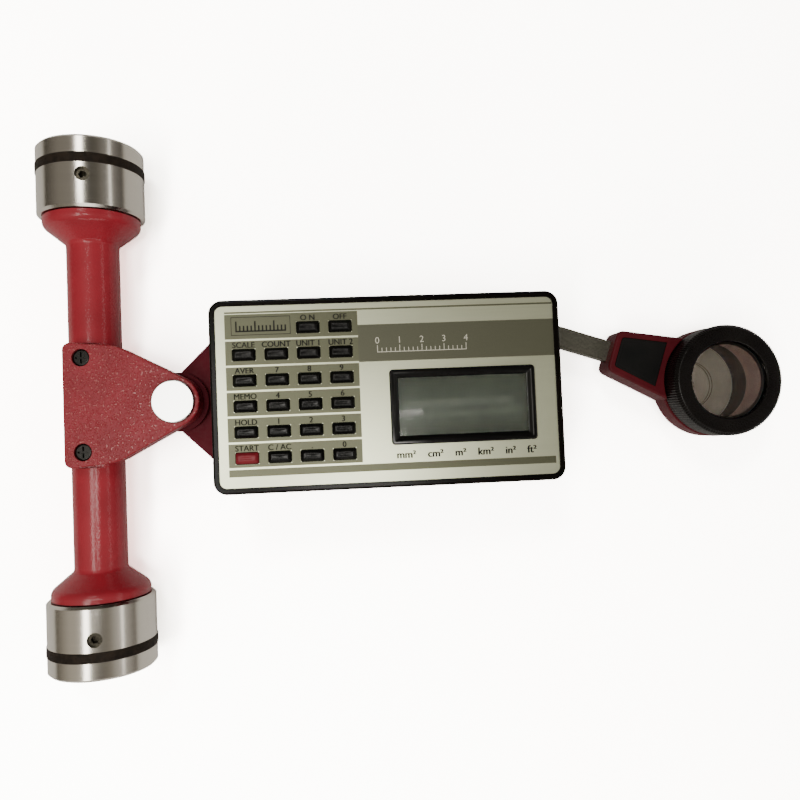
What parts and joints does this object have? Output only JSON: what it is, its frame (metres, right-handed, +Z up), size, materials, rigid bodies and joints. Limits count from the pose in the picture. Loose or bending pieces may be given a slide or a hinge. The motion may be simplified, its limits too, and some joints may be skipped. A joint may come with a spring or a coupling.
{
  "type": "roller planimeter",
  "caption": "Digital roller planimeter: two-roller carriage, swinging arm with keypad and display, sprung counting wheel and a tracer with a focusing magnifier",
  "frame": {"origin": "on the paper, under the middle of the whole instrument with its arm square to the roller axle", "axes": "+X along the arm from the rollers to the tracer, +Y along the roller axle, +Z up from the paper"},
  "size_m": [0.2175, 0.15, 0.0389],
  "materials": {
    "base_clear": "clear acrylic disc with an engraved ring",
    "black_case": "satin black moulding",
    "black_gloss": "glossy black moulding",
    "black_screw": "black oxide",
    "board_green": "glass-fibre board with solder mask",
    "bright_steel": "polished",
    "cell_wrap": "shrink sleeve",
    "dark_steel": "brushed, slightly darkened",
    "disc_plastic": "thin black slotted disc",
    "face_metal": "satin champagne anodised sheet with printed blocks",
    "key_black": "glossy black key cap",
    "key_red": "glossy red key cap",
    "lcd_grey": "grey-green reflective display cell",
    "lens_glass": "polished optical glass",
    "mat_rubber": "grey silicone",
    "pad_black": "matt black finger pad",
    "red_dark": "dark red enamel, semi-gloss",
    "red_gloss": "glossy red enamel on a casting",
    "red_wrinkle": "red wrinkle enamel, fine texture",
    "ring_black": "black anodised, knurled edge",
    "spring_steel": "bright spring strip",
    "turned_steel": "turned, fine lay round the axis",
    "tyre_rubber": "matt black rubber",
    "window_clear": "clear acrylic"
  },
  "bodies": {
    "carriage": {"roller_housing": "red_gloss", "bracket_plate": "red_wrinkle", "bracket_screws": "black_screw", "axle_bearings": "bright_steel", "pivot_shaft": "bright_steel", "pivot_nut": "bright_steel"},
    "rollers": {"roller_axle": "bright_steel", "left_drum": "turned_steel", "right_drum": "turned_steel", "tyres": "tyre_rubber", "roller_set_screws": "dark_steel"},
    "arm": {"arm_frame": "red_dark", "pivot_bearings": "bright_steel", "case_bottom": "black_case", "case_top": "black_case", "face_panel": "face_metal", "screen_frame": "black_gloss", "screen_window": "window_clear", "lcd_module": "lcd_grey", "circuit_board": "board_green", "keypad_mat": "mat_rubber", "battery_pack": "cell_wrap", "power_jack": "black_case", "arm_screws": "dark_steel", "rocker_pin": "bright_steel", "tracer_bar": "dark_steel", "tracer_holder": "red_dark", "holder_pad": "pad_black", "tracer_base": "base_clear"},
    "rocker": {"wheel_rocker": "black_case", "rocker_spring": "spring_steel", "optical_sensor": "black_gloss"},
    "counting_wheel": {"wheel_axle": "bright_steel", "measuring_wheel": "turned_steel", "encoder_disc": "disc_plastic"},
    "magnifier": {"lens_ring": "ring_black", "lens": "lens_glass", "lens_retainer": "black_screw"},
    "key_on": {"key_on": "key_black"},
    "key_off": {"key_off": "key_black"},
    "key_scale": {"key_scale": "key_black"},
    "key_count": {"key_count": "key_black"},
    "key_unit_a": {"key_unit_a": "key_black"},
    "key_unit_b": {"key_unit_b": "key_black"},
    "key_average": {"key_average": "key_black"},
    "key_7": {"key_7": "key_black"},
    "key_8": {"key_8": "key_black"},
    "key_9": {"key_9": "key_black"},
    "key_memory": {"key_memory": "key_black"},
    "key_4": {"key_4": "key_black"},
    "key_5": {"key_5": "key_black"},
    "key_6": {"key_6": "key_black"},
    "key_hold": {"key_hold": "key_black"},
    "key_1": {"key_1": "key_black"},
    "key_2": {"key_2": "key_black"},
    "key_3": {"key_3": "key_black"},
    "key_start": {"key_start": "key_red"},
    "key_clear": {"key_clear": "key_black"},
    "key_point": {"key_point": "key_black"},
    "key_0": {"key_0": "key_black"}
  },
  "joints": [
    {"name": "roller_spin", "type": "hinge", "parent": "carriage", "child": "rollers", "pos_m": [-0.09375, 0, 0.015], "axis": [0, 1, 0], "continuous": true},
    {"name": "arm_swing", "type": "hinge", "parent": "carriage", "child": "arm", "pos_m": [-0.06895, 0, 0.0145], "axis": [0, 0, 1], "range_deg": [-60, 60]},
    {"name": "wheel_rock", "type": "hinge", "parent": "arm", "child": "rocker", "pos_m": [-0.03095, 0, 0.0098], "axis": [0, 1, 0], "range_deg": [-2, 2], "stiffness_Nm_per_rad": 0.05, "deforming": ["rocker_spring"]},
    {"name": "wheel_spin", "type": "hinge", "parent": "rocker", "child": "counting_wheel", "pos_m": [-0.00895, 0, 0.008], "axis": [1, 0, 0], "continuous": true},
    {"name": "focus_turn", "type": "hinge", "parent": "arm", "child": "magnifier", "pos_m": [0.09205, 0, 0.02], "axis": [0, 0, 1], "range_deg": [-150, 150]},
    {"name": "press_on", "type": "slide", "parent": "arm", "child": "key_on", "axis": [0, 0, -1], "range_m": [0, 0.0007], "stiffness_N_per_m": 400},
    {"name": "press_off", "type": "slide", "parent": "arm", "child": "key_off", "axis": [0, 0, -1], "range_m": [0, 0.0007], "stiffness_N_per_m": 400},
    {"name": "press_scale", "type": "slide", "parent": "arm", "child": "key_scale", "axis": [0, 0, -1], "range_m": [0, 0.0007], "stiffness_N_per_m": 400},
    {"name": "press_count", "type": "slide", "parent": "arm", "child": "key_count", "axis": [0, 0, -1], "range_m": [0, 0.0007], "stiffness_N_per_m": 400},
    {"name": "press_unit_a", "type": "slide", "parent": "arm", "child": "key_unit_a", "axis": [0, 0, -1], "range_m": [0, 0.0007], "stiffness_N_per_m": 400},
    {"name": "press_unit_b", "type": "slide", "parent": "arm", "child": "key_unit_b", "axis": [0, 0, -1], "range_m": [0, 0.0007], "stiffness_N_per_m": 400},
    {"name": "press_average", "type": "slide", "parent": "arm", "child": "key_average", "axis": [0, 0, -1], "range_m": [0, 0.0007], "stiffness_N_per_m": 400},
    {"name": "press_7", "type": "slide", "parent": "arm", "child": "key_7", "axis": [0, 0, -1], "range_m": [0, 0.0007], "stiffness_N_per_m": 400},
    {"name": "press_8", "type": "slide", "parent": "arm", "child": "key_8", "axis": [0, 0, -1], "range_m": [0, 0.0007], "stiffness_N_per_m": 400},
    {"name": "press_9", "type": "slide", "parent": "arm", "child": "key_9", "axis": [0, 0, -1], "range_m": [0, 0.0007], "stiffness_N_per_m": 400},
    {"name": "press_memory", "type": "slide", "parent": "arm", "child": "key_memory", "axis": [0, 0, -1], "range_m": [0, 0.0007], "stiffness_N_per_m": 400},
    {"name": "press_4", "type": "slide", "parent": "arm", "child": "key_4", "axis": [0, 0, -1], "range_m": [0, 0.0007], "stiffness_N_per_m": 400},
    {"name": "press_5", "type": "slide", "parent": "arm", "child": "key_5", "axis": [0, 0, -1], "range_m": [0, 0.0007], "stiffness_N_per_m": 400},
    {"name": "press_6", "type": "slide", "parent": "arm", "child": "key_6", "axis": [0, 0, -1], "range_m": [0, 0.0007], "stiffness_N_per_m": 400},
    {"name": "press_hold", "type": "slide", "parent": "arm", "child": "key_hold", "axis": [0, 0, -1], "range_m": [0, 0.0007], "stiffness_N_per_m": 400},
    {"name": "press_1", "type": "slide", "parent": "arm", "child": "key_1", "axis": [0, 0, -1], "range_m": [0, 0.0007], "stiffness_N_per_m": 400},
    {"name": "press_2", "type": "slide", "parent": "arm", "child": "key_2", "axis": [0, 0, -1], "range_m": [0, 0.0007], "stiffness_N_per_m": 400},
    {"name": "press_3", "type": "slide", "parent": "arm", "child": "key_3", "axis": [0, 0, -1], "range_m": [0, 0.0007], "stiffness_N_per_m": 400},
    {"name": "press_start", "type": "slide", "parent": "arm", "child": "key_start", "axis": [0, 0, -1], "range_m": [0, 0.0007], "stiffness_N_per_m": 400},
    {"name": "press_clear", "type": "slide", "parent": "arm", "child": "key_clear", "axis": [0, 0, -1], "range_m": [0, 0.0007], "stiffness_N_per_m": 400},
    {"name": "press_point", "type": "slide", "parent": "arm", "child": "key_point", "axis": [0, 0, -1], "range_m": [0, 0.0007], "stiffness_N_per_m": 400},
    {"name": "press_0", "type": "slide", "parent": "arm", "child": "key_0", "axis": [0, 0, -1], "range_m": [0, 0.0007], "stiffness_N_per_m": 400}
  ]
}
